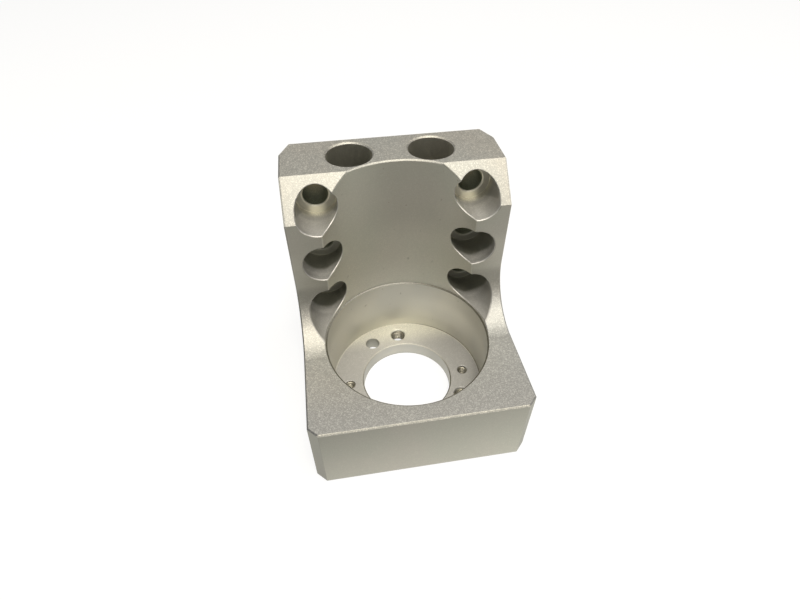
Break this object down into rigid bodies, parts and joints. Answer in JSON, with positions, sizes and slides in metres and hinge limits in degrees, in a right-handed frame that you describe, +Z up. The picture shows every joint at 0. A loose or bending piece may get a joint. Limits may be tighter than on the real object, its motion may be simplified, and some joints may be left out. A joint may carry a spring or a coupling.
{
  "type": "bearing bracket",
  "caption": "Machined aluminium bearing bracket with a stepped bore in a square foot and an upright wall, hollowed to a half round and drilled for screws.",
  "frame": {"origin": "On the common axis of the bore and the centre hole, in the plane of the underside.", "axes": "+Z runs up the bore's axis, +Y towards the back face that is screwed to a machine, and +X to the right, seen from the open front."},
  "size_m": [0.08, 0.088, 0.09],
  "materials": {
    "blasted_aluminium": "bead blasted and clear anodised, satin"
  },
  "bodies": {
    "root": {"bracket": "blasted_aluminium"}
  },
  "joints": []
}
